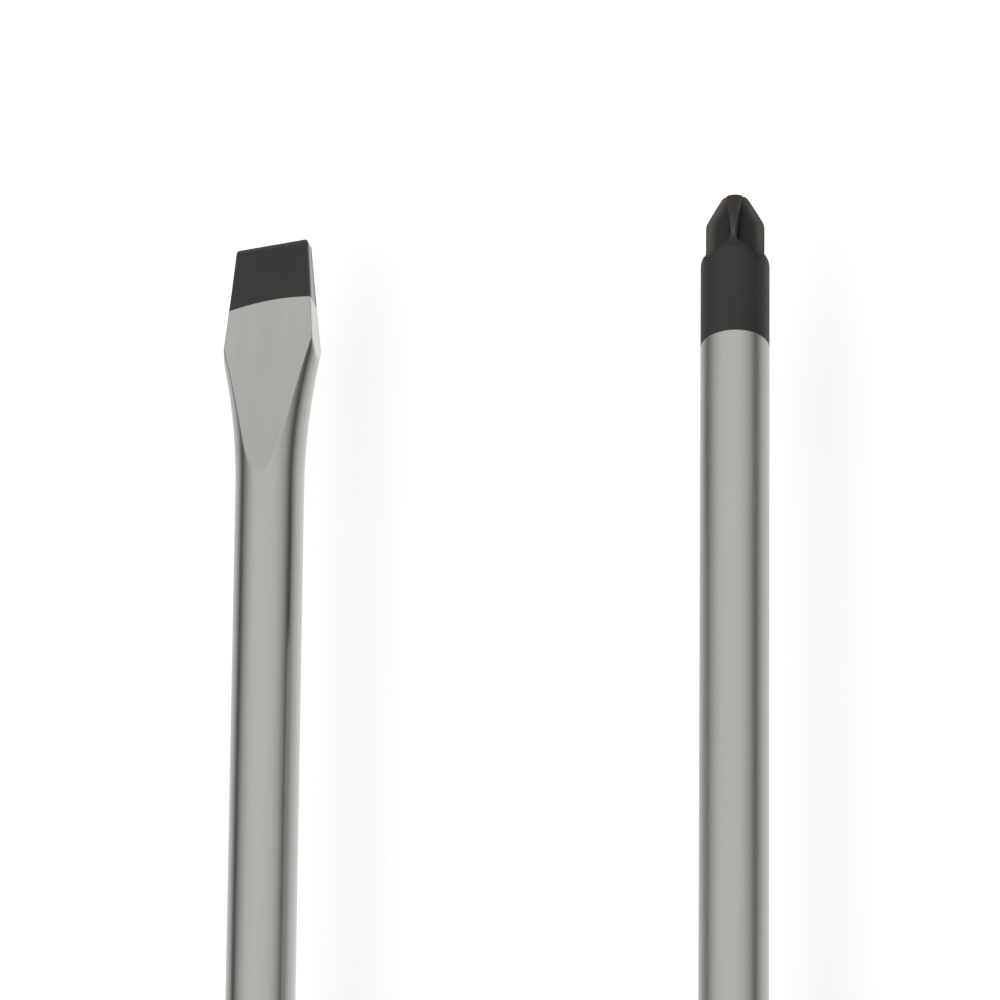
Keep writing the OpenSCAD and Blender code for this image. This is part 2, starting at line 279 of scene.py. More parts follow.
# Bumps, as their depth and strength, or as the strength alone where each plastic has a depth
STEEL_BUMP = (0.004, 0.6)
PLASTIC_BUMP = 0.5
RUBBER_BUMP = (0.03, 0.55)

# Brightness of the surroundings by the height of a direction, from straight down to straight up:
# a pale floor close below, a dark band around the horizon and a bright ceiling
SURROUNDINGS = ((-1.00, 0.92), (-0.74, 0.80), (-0.47, 0.64), (-0.21, 0.40), (-0.09, 0.17), (0.00, 0.08),
                (0.09, 0.13), (0.25, 0.34), (0.45, 0.54), (0.62, 0.66), (0.74, 0.71), (1.00, 0.74))
# Share of blue in the surroundings against red and green
SURROUNDINGS_BLUE = 0.99
# Floor: its grey, its own glow towards the camera, its half width in metres and how far in
# millimetres it lies below the object
FLOOR_GREY = 0.82
FLOOR_LIFT = 0.46
FLOOR_R = 2.0
FLOOR_GAP = 0.05
# Key light: place, aim and width in metres, and power in watts
KEY_PLACE = (-0.35, -0.75, 0.95)
KEY_AIM = (0, -0.05, 0)
KEY_W = 0.6
KEY_POWER = 5.0


class Driver:
    """One driver's name, body and axis, read from the frame."""

    def __init__(self, name):
        low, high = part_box(name + "_blade")
        self.name = name
        self.body = name + "_driver"
        self.axis = Vector(((low.x + high.x) / 2, 0, (low.z + high.z) / 2))
        self.axis.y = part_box(name + "_handle_body")[1].y

    def at(self, point):
        """A point in metres in the frame, from millimetres about the nose."""
        return self.axis + Vector(point) * MM


def lerp(a, b, t):
    """The value at a share t of the way from a to b."""
    return a + (b - a) * t


def span(a, b, count):
    """count + 1 even steps from a to b."""
    return [lerp(a, b, i / count) for i in range(count + 1)]


def held(value):
    """A value held between 0 and 1."""
    return min(max(value, 0.0), 1.0)


def soft_min(a, b, blend):
    """The smaller of two values, rounded where they are within blend of each other."""
    near = max(blend - abs(a - b), 0.0) / blend
    return min(a, b) - near * near * blend / 4


# Meshes

def mesh_object(name, verts, faces, marks):
    """A smooth-shaded object with its faces turned outwards and a value a point for each mark."""
    mesh = bpy.data.meshes.new(name)
    mesh.from_pydata(verts, [], faces)
    for label, values in marks.items():
        mesh.attributes.new(label, "FLOAT", "POINT").data.foreach_set("value", values)
    work = bmesh.new()
    work.from_mesh(mesh)
    bmesh.ops.remove_doubles(work, verts=work.verts, dist=MERGE_DIST)
    bmesh.ops.recalc_face_normals(work, faces=work.faces)
    work.to_mesh(mesh)
    work.free()
    mesh.shade_smooth()
    obj = bpy.data.objects.new(name, mesh)
    bpy.context.scene.collection.objects.link(obj)
    return obj


def loft(name, driver, rings, loop=False, **marks):
    """Skins a row of rings of points, as a loop or with both ends closed by a fan.

    Each mark is named, and has a value for each point of each ring.
    """
    n = len(rings[0])
    count = len(rings)
    verts = [driver.at(p) for ring in rings for p in ring]
    faces = []
    for i in range(count if loop else count - 1):
        a = i * n
        b = (i + 1) % count * n
        faces += [(a + k, a + (k + 1) % n, b + (k + 1) % n, b + k) for k in range(n)]
    values = {label: [m for ring in rows for m in ring] for label, rows in marks.items()}
    if not loop:
        for start in (0, (count - 1) * n):
            middle = len(verts)
            verts.append(sum(verts[start:start + n], Vector()) / n)
            faces += [(start + k, start + (k + 1) % n, middle) for k in range(n)]
            for row in values.values():
                row.append(0.0)
    return mesh_object(name, verts, faces, values)


def angles(n):
    """n even angles around the axis, from half a step past +x."""
    return [2 * math.pi * (k + 0.5) / n for k in range(n)]


def even(radius):
    """A radius that is the same all round."""
    return lambda a: radius


def polar_ring(y, radius, turns):
    """A ring across the axis at y, whose radius is a function of the angle from +x to +z."""
    return [(radius(a) * math.cos(a), y, radius(a) * math.sin(a)) for a in turns]


def rolled(ring, roll):
    """A ring turned about the driver's axis; seen from the handle a roll runs from +z to +x."""
    c, s = math.cos(roll), math.sin(roll)
    return [(x * c + z * s, y, z * c - x * s) for x, y, z in ring]


def settle(obj):
    """Makes what an object's modifiers give its plain mesh, and removes them."""
    graph = bpy.context.evaluated_depsgraph_get()
    mesh = bpy.data.meshes.new_from_object(obj.evaluated_get(graph), depsgraph=graph)
    obj.modifiers.clear()
    obj.data = mesh


def cut(obj, cutter):
    """Takes the cutter out of an object and keeps its crisp edges crisp."""
    boolean = obj.modifiers.new("cut", "BOOLEAN")
    boolean.operation = "DIFFERENCE"
    boolean.solver = "EXACT"
    boolean.object = cutter
    bpy.context.view_layer.update()
    settle(obj)
    bpy.data.objects.remove(cutter)
    obj.data.shade_smooth()
    obj.data.set_sharp_from_angle(angle=SHARP_ANGLE)
    return obj


# Shank and tang of either blade

def plain_shank(front_y):
    """Rings of the shank and the tang, from front_y back to the tang's end, as (y, radius)."""
    def winged(turn):
        def radius(a):
            c, s = abs(math.cos(a - turn)), abs(math.sin(a - turn))
            bar = min(WING_W / 2 / max(c, LEAST), WING_T / 2 / max(s, LEAST))
            return max(TANG_R, bar)
        return radius

    rings = [(y, even(SHANK_R)) for y in span(front_y, 2 * SEAT_EDGE - SHANK_SEAT, SHANK_RINGS_N)]
    rings += [(SEAT_EDGE - SHANK_SEAT, even(SHANK_R)), (-SHANK_SEAT, even(SHANK_R - SEAT_EDGE))]
    rings.append((-SHANK_SEAT, even(TANG_R)))
    for middle, turn in ((FRONT_WING_U, 0.0), (REAR_WING_U, math.pi / 2)):
        for y, radius in ((WING_L / 2, even(TANG_R)), (WING_L / 2, winged(turn)),
                          (-WING_L / 2, winged(turn)), (-WING_L / 2, even(TANG_R))):
            rings.append((y - middle, radius))
    rings.append((TANG_CHAMFER - TANG_L, even(TANG_R)))
    rings.append((-TANG_L, even(TANG_R - TANG_CHAMFER / 2)))
    return rings


# Slotted blade

def spread_half(s):
    """Half width of the bar, spread by forging, at s from the tip."""
    return SHANK_R + max(GRIND_L - s, 0.0) ** 2 / (2 * FLARE_ARC_R)


def face_half(s):
    """Half thickness between the ground faces at s from the tip."""
    rise = SHANK_R - SLOT_T / 2 - FACE_SLOPE * GRIND_L
    return SLOT_T / 2 + FACE_SLOPE * s + rise * (s / GRIND_L) ** FACE_POWER


def side_half(s):
    """Half width between the trimmed sides at s from the tip."""
    return lerp(SLOT_W, FLARE_W, s / FLARE_L) / 2


def corner_loss(s):
    """How much narrower the rounded corners make the tip at s, on each side."""
    left = max(1 - s / END_CORNER, 0.0)
    return END_CORNER * (1 - math.sqrt(1 - left * left))


def slotted_section(s, inset):
    """Points round the blade at s, taken in by an inset, each with its edge and side marks.

    The bar is an ellipse as wide as it is spread and as thick as the shank, cut by the flat
    faces above and below and by the trimmed sides.
    """
    wide = spread_half(s) - inset
    thick = SHANK_R - inset
    half_t = min(face_half(s) - inset, thick)
    half_w = min(side_half(s) - inset - corner_loss(s), wide)

    def side_x(z):
        return min(half_w, wide * math.sqrt(max(1 - (z / thick) ** 2, 0.0)))

    def face_z(x):
        return min(half_t, thick * math.sqrt(max(1 - (x / wide) ** 2, 0.0)))

    edge_x = max(side_x(half_t), LEAST_FACE)
    edge_z = face_z(edge_x)
    low_z = edge_z - SLOT_CORNER
    in_x = edge_x - SLOT_CORNER
    sharp = min(1.0, (edge_x - LEAST_FACE) / LEAST_FACE)
    trimmed_z = min(low_z, thick * math.sqrt(max(1 - (half_w / wide) ** 2, 0.0)))
    turns = span(-SLOT_SIDE_TURN, SLOT_SIDE_TURN, SLOT_SIDE_N)
    zs = [-low_z] + [low_z * math.sin(t) for t in turns] + [low_z]
    # The side mark bares the sides' steel and brightens it as a painted highlight
    right = [(side_x(z), z, 0.0, held((trimmed_z - abs(z)) / SIDE_FADE)) for z in zs]
    start = Vector((side_x(low_z), low_z))
    corner = Vector((side_x(edge_z), edge_z))
    finish = Vector((in_x, face_z(in_x)))
    bend = []
    for t in span(0.0, 1.0, SLOT_CORNER_N)[1:-1]:
        p = start.lerp(corner, t).lerp(corner.lerp(finish, t), t)
        bend.append((p.x, p.y, sharp, 0.0))
    close = min(SLOT_CORNER, in_x / 4)
    xs = [in_x] + span(in_x - close, close - in_x, SLOT_FACE_N) + [-in_x]
    face = [(x, face_z(x), 0.0, 0.0) for x in xs]
    upper = bend + face + [(-x, z, *m) for x, z, *m in reversed(bend)]
    half = right + upper
    return half + [(-x, -z, *m) for x, z, *m in half]


def slotted_blade(driver):
    """The forged, ground and trimmed bar, its round shank and its winged tang."""
    last_s = GRIND_L + SLOT_RINGS_OVERRUN
    ground = [(s, 0.0) for s in span(SLOT_RINGS_START, last_s, SLOT_RINGS_N)]
    rings, edges, sides = [], [], []
    for s, inset in [*SLOT_END_RINGS, *ground]:
        section = slotted_section(s, inset)
        # The edge mark is rubbed finish and a painted highlight along the corners and the end
        at_end = max(1 - s / END_WEAR_L, 0.0)
        rings.append(rolled([(x, BLADE_L - s, z) for x, z, edge, side in section], SLOTTED_ROLL))
        edges.append([max(edge, at_end) for x, z, edge, side in section])
        sides.append([side for x, z, edge, side in section])
    turns = [math.atan2(z, x) for x, z, edge, side in slotted_section(last_s, 0.0)]
    for y, radius in plain_shank(BLADE_L - last_s - RING_GAP):
        rings.append(rolled(polar_ring(y, radius, turns), SLOTTED_ROLL))
        edges.append([0.0] * len(turns))
        sides.append([0.0] * len(turns))
    return loft("slotted_blade_bar", driver, rings, edge=edges, side=sides)


# Cross blade

def turned_r(s):
    """Radius of the cross tip at s before its flutes are cut."""
    if s < SHOULDER_START:
        return soft_min(END_R + s * math.tan(CONE), CROSS_WING_R, CONE_BLEND)
    rise = min((s - SHOULDER_START) / (SHOULDER_END - SHOULDER_START), 1.0)
    return lerp(CROSS_WING_R, SHANK_R, (1 - math.cos(math.pi * rise)) / 2)


def flute_r(s, a):
    """Distance from the axis to a flute's wall, at s, in a direction a from the flute's middle."""
    slope = 1 / math.tan(FLUTE_HALF)
    side, ahead = abs(math.sin(a)), math.cos(a)
    along = s - FLUTE_L
    if along <= 0:
        root = FLUTE_ROOT - s * math.tan(FLUTE_FALL)
        return root / max(ahead - side * slope, LEAST)
    centre = FLUTE_ROOT - FLUTE_L * math.tan(FLUTE_FALL) + RUNOUT_R

    def inside(r):
        wheel = RUNOUT_R - r * side * slope
        return wheel > along and r * ahead > centre - math.sqrt(wheel * wheel - along * along)

    steps = span(centre - RUNOUT_R, SHANK_R + FLUTE_PAST, FLUTE_STEPS)
    hit = next((i for i, r in enumerate(steps) if inside(r)), None)
    if hit is None:
        return 2 * SHANK_R
    low, high = steps[max(hit - 1, 0)], steps[hit]
    for _ in range(FLUTE_HALVINGS):
        middle = (low + high) / 2
        low, high = (low, middle) if inside(middle) else (middle, high)
    return high


def cross_section(s, shrink):
    """Points round the cross tip at s, as angle, radius, and marks for wear with a painted highlight and
    for painted shade in the flutes.

    The wings stand at the quarters. The wear mark, partly real rubbing and partly a painted highlight,
    is strongest where a flute's wall meets a wing's back and where a back is thin, and weaker on the
    upper and lower wings; the painted shade grows with how far a point lies inside a flute.
    """
    outer = turned_r(s)
    turns = [abs(a % (math.pi / 2) - math.pi / 4) for a in angles(CROSS_N)]
    turns = [round(turn, ANGLE_DIGITS) for turn in turns]
    walls = {turn: flute_r(s, turn) for turn in set(turns)}
    cut_to = max((turn for turn, wall in walls.items() if wall < outer), default=-1.0)
    rows = []
    for a, turn in zip(angles(CROSS_N), turns):
        radius = soft_min(outer, walls[turn], CROSS_EDGE)
        # Painted highlight: the side wings take the full share, the upper and lower wings less
        share = lerp(UPPER_WEAR_AND_HIGHLIGHT, 1.0, math.cos(a) ** 2)
        wear_and_highlight, flute_shade = 0.0, 0.0
        if turn > cut_to >= 0:
            thin = 2 - 2 * (math.pi / 4 - cut_to) * outer / WORN_THIN
            wear_and_highlight = max(share * (1 - (turn - cut_to) * outer / WORN_BACK), thin)
        elif cut_to >= 0:
            wear_and_highlight = share * (WORN_END - outer + radius) / (WORN_END - WORN_FULL)
            # Painted shade, growing with how far the point lies inside the flute
            flute_shade = (outer - radius) / FLUTE_SHADE_DEPTH
        rows.append((a, radius * shrink, held(wear_and_highlight), held(flute_shade)))
    return rows


def cross_blade(driver):
    """The winged cross tip, its turned shoulder, the round shank and its winged tang."""
    whole = [(s, 1.0) for s in span(CROSS_RINGS_START, CROSS_RINGS_END, CROSS_RINGS_N)]
    rings, edges, flute_shades = [], [], []
    for s, shrink in [*CROSS_END_RINGS, *whole]:
        section = cross_section(s, shrink)
        ring = [(r * math.cos(a), BLADE_L - s, r * math.sin(a)) for a, r, wear_and_highlight, flute_shade in section]
        rings.append(rolled(ring, CROSS_ROLL))
        edges.append([wear_and_highlight for a, r, wear_and_highlight, flute_shade in section])
        flute_shades.append([flute_shade for a, r, wear_and_highlight, flute_shade in section])
    for y, radius in plain_shank(BLADE_L - CROSS_RINGS_END - RING_GAP):
        rings.append(rolled(polar_ring(y, radius, angles(CROSS_N)), CROSS_ROLL))
        edges.append([0.0] * CROSS_N)
        flute_shades.append([0.0] * CROSS_N)
    return loft("cross_blade_bar", driver, rings, edge=edges, depth=flute_shades)


# Handle

def handle_r(u):
    """Radius of the handle's turned outline at u behind the nose, level at each station."""
    for (u0, r0), (u1, r1) in zip(STATIONS, STATIONS[1:]):
        if u <= u1:
            return lerp(r0, r1, (1 - math.cos(math.pi * (u - u0) / (u1 - u0))) / 2)
    return STATIONS[-1][1]


def off_flat(a):
    """Angle from the middle of the nearest of the six flats."""
    return (a + math.pi / 3) % (math.pi / 3) - math.pi / 6


def six_sided(half):
    """The radius of a hexagon by angle, from half its width across the flats."""
    return lambda a: half / math.cos(off_flat(a))


def handle_form(u, inset, shrink=0.0):
    """Radius of the six-flatted handle by angle, at u, taken in by an inset."""
    flat = six_sided(FLAT - inset)
    turned = handle_r(u) - inset
    return lambda a: soft_min(turned, flat(a), FLAT_BLEND) - shrink


def handle_ring(u, radius):
    """A ring across the handle at u behind the nose."""
    return polar_ring(-u, radius, angles(HANDLE_N))


def even_ring(u, radius):
    """A round ring across the handle."""
    return handle_ring(u, even(radius))


def rounded_end(u, inset, edge, inward):
    """Rings over a rounded rim, from the end face at u out to the side of the form."""
    rings = []
    for t in span(0.0, math.pi / 2, EDGE_N):
        place = u + inward * edge * (1 - math.cos(t))
        rings.append(handle_ring(place, handle_form(place, inset, edge * (1 - math.sin(t)))))
    return rings


def sleeve(name, driver, u0, u1, edge, step):
    """A moulded sleeve of the grip's thickness around the body, with rounded rims."""
    low, high = u0 + FIT_GAP, u1 - FIT_GAP
    inner = GRIP_T - FIT_GAP
    outer_us = span(low + edge, high - edge, max(2, round((high - low) / step)))
    rings = rounded_end(low, 0.0, edge, 1)[:-1]
    first = len(rings)
    rings += [handle_ring(u, handle_form(u, 0.0)) for u in outer_us]
    last = len(rings)
    rings += list(reversed(rounded_end(high, 0.0, edge, -1)[:-1]))
    inner_us = span(high, low, max(2, round((high - low) / INNER_STEP)))
    rings += [handle_ring(u, handle_form(u, inner)) for u in inner_us]
    outside = [[1.0 if first <= i < last else 0.0] * HANDLE_N for i in range(len(rings))]
    return loft(name, driver, rings, loop=True, outside=outside)


def handle_body(driver):
    """The hard body: core cavity, nose, guard, recess under the grip, rounded tail, cap pocket."""
    cavity = six_sided(CORE_R * math.cos(math.pi / 6) + FIT_GAP)
    hole = SHANK_R + FIT_GAP
    rings = [handle_ring(CORE_END_U + FIT_GAP, cavity), handle_ring(CORE_U - FIT_GAP, cavity)]
    rings.append(even_ring(CORE_U, hole))
    rings += [even_ring(u, hole + grow) for u, grow in HOLE_MOUTH]
    nose_r = handle_r(0)
    rings.append(even_ring(0.0, nose_r - 2 * NOSE_EDGE))
    for t in span(0.0, math.pi / 2, NOSE_EDGE_N):
        u = NOSE_EDGE * (1 - math.cos(t))
        rings.append(even_ring(u, nose_r - NOSE_EDGE * (1 - math.sin(t)) + NOSE_SWELL))
    front = span(NOSE_EDGE + NOSE_GAP, RING_U - BODY_EDGE, BODY_RINGS_N)
    rings += [handle_ring(u, handle_form(u, 0.0)) for u in front]
    rings += list(reversed(rounded_end(RING_U, 0.0, BODY_EDGE, -1)[:-1]))
    recess = span(RING_U, GRIP_END_U, RECESS_RINGS_N)
    rings += [handle_ring(u, handle_form(u, GRIP_T)) for u in recess]
    rings += rounded_end(GRIP_END_U, 0.0, BODY_EDGE, 1)
    tail_u = HANDLE_L - TAIL_ROUND
    rear = span(GRIP_END_U + 2 * BODY_EDGE, tail_u, BODY_RINGS_N)
    rings += [handle_ring(u, handle_form(u, 0.0)) for u in rear]
    tail_r = handle_r(tail_u)
    for t in span(0.0, math.pi / 2, TAIL_N)[1:]:
        u = tail_u + TAIL_ROUND * math.sin(t)
        rings.append(even_ring(u, tail_r - TAIL_ROUND * (1 - math.cos(t))))
    pocket_r = CAP_R + FIT_GAP
    pocket_u = HANDLE_L - CAP_T - FIT_GAP
    rings += [even_ring(HANDLE_L - depth, pocket_r + grow) for depth, grow in POCKET_MOUTH]
    rings += [even_ring(pocket_u, pocket_r), even_ring(pocket_u, pocket_r / 2)]
    body = loft(driver.name + "_hard_body", driver, rings)
    return cut(body, hanging_cutter(driver))


def hanging_cutter(driver):
    """A pin across the handle that flares at both ends like a rounded mouth."""
    flare = FLAT - HANG_WALL / 2
    profile = [(HANG_R + flare + OVERRUN, FLAT + OVERRUN)]
    for t in span(math.pi / 2, 0.0, HANG_MOUTH_N):
        profile.append((HANG_R + flare * (1 - math.cos(t)), HANG_WALL / 2 + flare * math.sin(t)))
    profile += [(r, -z) for r, z in reversed(profile)]
    turns = angles(HANG_N)
    rings = [[(r * math.cos(a), r * math.sin(a) - HANG_U, z) for a in turns] for r, z in profile]
    return loft("hanging_cutter", driver, rings)


def end_cap(driver, bars):
    """The domed cap, cut with one bar for a slot or two for a cross."""
    inner_u = HANDLE_L - CAP_T
    profile = [(inner_u, CAP_R / 2), (inner_u, CAP_R - CAP_RIM), (inner_u + CAP_RIM, CAP_R)]
    profile.append((HANDLE_L - CAP_STEP, CAP_R))
    profile += [(HANDLE_L + CAP_LIP * math.sin(t), CAP_R - CAP_SHOULDER * (1 - math.cos(t)))
                for t in span(0.0, math.pi / 2, EDGE_N)]
    crown = CAP_R - CAP_SHOULDER
    profile += [(HANDLE_L + lerp(CAP_LIP, CAP_DOME, 1 - (r / crown) ** 2), r)
                for r in span(crown, CAP_SHOULDER, CAP_DOME_N)[1:]]
    rings = [polar_ring(-u, even(r), angles(CAP_N)) for u, r in profile]
    cap = loft(driver.name + "_marked_cap", driver, rings)
    for k in range(bars):
        cap = cut(cap, mark_cutter(driver, k * math.pi / 2))
    return cap


def mark_cutter(driver, turn):
    """A bar with round ends and sloped sides, sunk into the cap's dome."""
    half = MARK_L / 2 - MARK_W / 2
    bottom = HANDLE_L + CAP_DOME - MARK_DEPTH
    rings = []
    for height, grow in MARK_WALLS:
        ring = []
        for a in angles(MARK_N):
            r = MARK_W / 2 + grow
            x = math.copysign(half, math.cos(a)) + r * math.cos(a)
            ring.append((x, -bottom - height, r * math.sin(a)))
        rings.append(rolled(ring, -turn))
    return loft("mark_cutter", driver, rings)


# Grooves and treads pressed into the grip by a node tree

def fill(tree, socket, value):
    """Links a node's input to another socket, or sets its value."""
    if isinstance(value, bpy.types.NodeSocket):
        tree.links.new(value, socket)
    else:
        socket.default_value = value


class Sums:
    """Adds sums to a node tree, so that they can be written as calls."""

    def __init__(self, tree):
        self.tree = tree

    def do(self, operation, *values):
        node = self.tree.nodes.new("ShaderNodeMath")
        node.operation = operation
        for socket, value in zip(node.inputs, values):
            fill(self.tree, socket, value)
        return node.outputs[0]

    def held(self, value):
        """A value held between 0 and 1."""
        return self.do("MINIMUM", self.do("MAXIMUM", value, 0.0), 1.0)


def hollow_depth(sums, along, group, name):
    """Depth of the nearest round hollow of a row, at a place along the grip."""
    count, pitch = group[name + " count"], group[name + " pitch"]
    radius, depth = group[name + " radius"], group[name + " depth"]
    last = sums.do("SUBTRACT", count, 1.0)
    from_middle = sums.do("SUBTRACT", along, group[name + " middle"])
    index = sums.do("ADD", sums.do("DIVIDE", from_middle, pitch), sums.do("DIVIDE", last, 2.0))
    nearest = sums.do("MINIMUM", sums.do("MAXIMUM", sums.do("ROUND", index), 0.0), last)
    away = sums.do("MULTIPLY", sums.do("SUBTRACT", index, nearest), pitch)
    left = sums.do("SUBTRACT", sums.do("MULTIPLY", radius, radius), sums.do("MULTIPLY", away, away))
    reach = sums.do("SQRT", sums.do("MAXIMUM", left, 0.0))
    hollow = sums.do("SUBTRACT", reach, sums.do("SUBTRACT", radius, depth))
    return sums.do("SMOOTH_MAX", hollow, 0.0, group["Edge softness"])


def groove_tree():
    """Node tree that presses finger grooves and palm treads into a smooth grip."""
    tree = bpy.data.node_groups.new("grip_grooves", "GeometryNodeTree")
    face = tree.interface
    face.new_socket("Grip", in_out="INPUT", socket_type="NodeSocketGeometry")
    names = ["Axis x", "Nose y", "Axis z", "Edge softness", "Tread width"]
    for row in ("Groove", "Tread"):
        names += [row + " " + word for word in ("middle", "count", "pitch", "radius", "depth")]
    for name in names:
        face.new_socket(name, in_out="INPUT", socket_type="NodeSocketFloat")
    face.new_socket("Rubber", in_out="INPUT", socket_type="NodeSocketMaterial")
    face.new_socket("Grip", in_out="OUTPUT", socket_type="NodeSocketGeometry")
    nodes, links = tree.nodes, tree.links
    group = nodes.new("NodeGroupInput").outputs
    finish = nodes.new("NodeGroupOutput")
    sums = Sums(tree)
    place = nodes.new("ShaderNodeSeparateXYZ")
    links.new(nodes.new("GeometryNodeInputPosition").outputs[0], place.inputs[0])
    x = sums.do("SUBTRACT", place.outputs["X"], group["Axis x"])
    z = sums.do("SUBTRACT", place.outputs["Z"], group["Axis z"])
    along = sums.do("SUBTRACT", group["Nose y"], place.outputs["Y"])
    radius = sums.do("SQRT", sums.do("ADD", sums.do("MULTIPLY", x, x), sums.do("MULTIPLY", z, z)))
    turn = sums.do("ADD", sums.do("ARCTAN2", z, x), 2 * math.pi)
    off = sums.do("SUBTRACT", sums.do("MODULO", turn, math.pi / 3), math.pi / 6)
    across = sums.do("ABSOLUTE", sums.do("MULTIPLY", radius, sums.do("SINE", off)))
    margin = sums.do("SUBTRACT", sums.do("MULTIPLY", group["Tread width"], 0.5), across)
    fade = sums.held(sums.do("DIVIDE", margin, TREAD_FADE * MM))
    grooves = hollow_depth(sums, along, group, "Groove")
    treads = sums.do("MULTIPLY", hollow_depth(sums, along, group, "Tread"), fade)
    outside = nodes.new("GeometryNodeInputNamedAttribute")
    outside.data_type = "FLOAT"
    outside.inputs["Name"].default_value = "outside"
    depth = sums.do("MULTIPLY", sums.do("ADD", grooves, treads), outside.outputs["Attribute"])
    inwards = sums.do("DIVIDE", sums.do("MULTIPLY", depth, -1.0), radius)
    offset = nodes.new("ShaderNodeCombineXYZ")
    links.new(sums.do("MULTIPLY", x, inwards), offset.inputs["X"])
    links.new(sums.do("MULTIPLY", z, inwards), offset.inputs["Z"])
    press = nodes.new("GeometryNodeSetPosition")
    links.new(group["Grip"], press.inputs["Geometry"])
    links.new(offset.outputs[0], press.inputs["Offset"])
    real = nodes.new("GeometryNodeRealizeInstances")
    links.new(press.outputs[0], real.inputs[0])
    coat = nodes.new("GeometryNodeSetMaterial")
    links.new(real.outputs[0], coat.inputs["Geometry"])
    links.new(group["Rubber"], coat.inputs["Material"])
    links.new(coat.outputs[0], finish.inputs["Grip"])
    return tree


def grip(driver, tree, rubber):
    """The soft sleeve with its grooves and treads."""
    obj = sleeve(driver.name + "_soft_grip", driver, GRIP_U, GRIP_END_U, GRIP_EDGE, GRIP_STEP)
    press = obj.modifiers.new("grooves", "NODES")
    press.node_group = tree
    values = {"Axis x": driver.axis.x, "Nose y": driver.axis.y, "Axis z": driver.axis.z,
              "Edge softness": HOLLOW_EDGE * MM, "Tread width": TREAD_W * MM, "Rubber": rubber}
    for row, sizes in (("Groove", GROOVES), ("Tread", TREADS)):
        for word, size in sizes.items():
            values[row + " " + word] = float(size) if word == "count" else size * MM
    for item in tree.interface.items_tree:
        if item.item_type == "SOCKET" and item.in_out == "INPUT" and item.name in values:
            press[item.identifier] = values[item.name]
    obj.update_tag()
    bpy.context.view_layer.update()
    settle(obj)
    obj.data.shade_smooth()
    return obj


# Materials

# Sockets of a Mix node that take its two colours, and the one that gives their blend
MIX_FIRST = 6
MIX_SECOND = 7
MIX_RESULT = 2


def shader_group(name, inputs, outputs):
    """An empty shader node group with named sockets, given as (kind, name, value)."""
    tree = bpy.data.node_groups.new(name, "ShaderNodeTree")
    for kind, label, value in inputs:
        socket = tree.interface.new_socket(label, in_out="INPUT", socket_type="NodeSocket" + kind)
        if value is not None:
            socket.default_value = value
    for kind, label in outputs:
        tree.interface.new_socket(label, in_out="OUTPUT", socket_type="NodeSocket" + kind)
    return tree, tree.nodes.new("NodeGroupInput").outputs, tree.nodes.new("NodeGroupOutput").inputs


def grain_group():
    """Fine even grain and slow cloudiness, each between 0 and 1."""
    inputs = [("Vector", "Vector", None), ("Float", "Grain per metre", 4000.0),
              ("Float", "Clouds per metre", 60.0)]
    outputs = [("Float", "Grain"), ("Float", "Clouds")]
    tree, given, result = shader_group("surface_grain", inputs, outputs)
    for label, scale, detail in (("Grain", "Grain per metre", 3.0), ("Clouds", "Clouds per metre", 2.0)):
        noise = tree.nodes.new("ShaderNodeTexNoise")
        noise.inputs["Detail"].default_value = detail
        tree.links.new(given["Vector"], noise.inputs["Vector"])
        tree.links.new(given[scale], noise.inputs["Scale"])
        tree.links.new(noise.outputs["Fac"], result[label])
    return tree


def wear_and_highlight_group():
    """How far a finish has rubbed off, with a painted highlight along the same edges: an edge mark,
    broken up by grain.
    """
    inputs = [("Float", "Edge", 0.0), ("Float", "Grain", 0.5), ("Float", "Amount", 0.5)]
    tree, given, result = shader_group("edge_wear_and_highlight", inputs, [("Float", "Wear and highlight")])
    sums = Sums(tree)
    broken = sums.do("MULTIPLY", sums.do("SUBTRACT", given["Grain"], 0.5), WEAR_AND_HIGHLIGHT_BREAKUP)
    wear_and_highlight = sums.do("MULTIPLY", sums.do("ADD", given["Edge"], broken), given["Amount"])
    tree.links.new(sums.do("MULTIPLY", sums.held(wear_and_highlight), given["Edge"]), result["Wear and highlight"])
    return tree


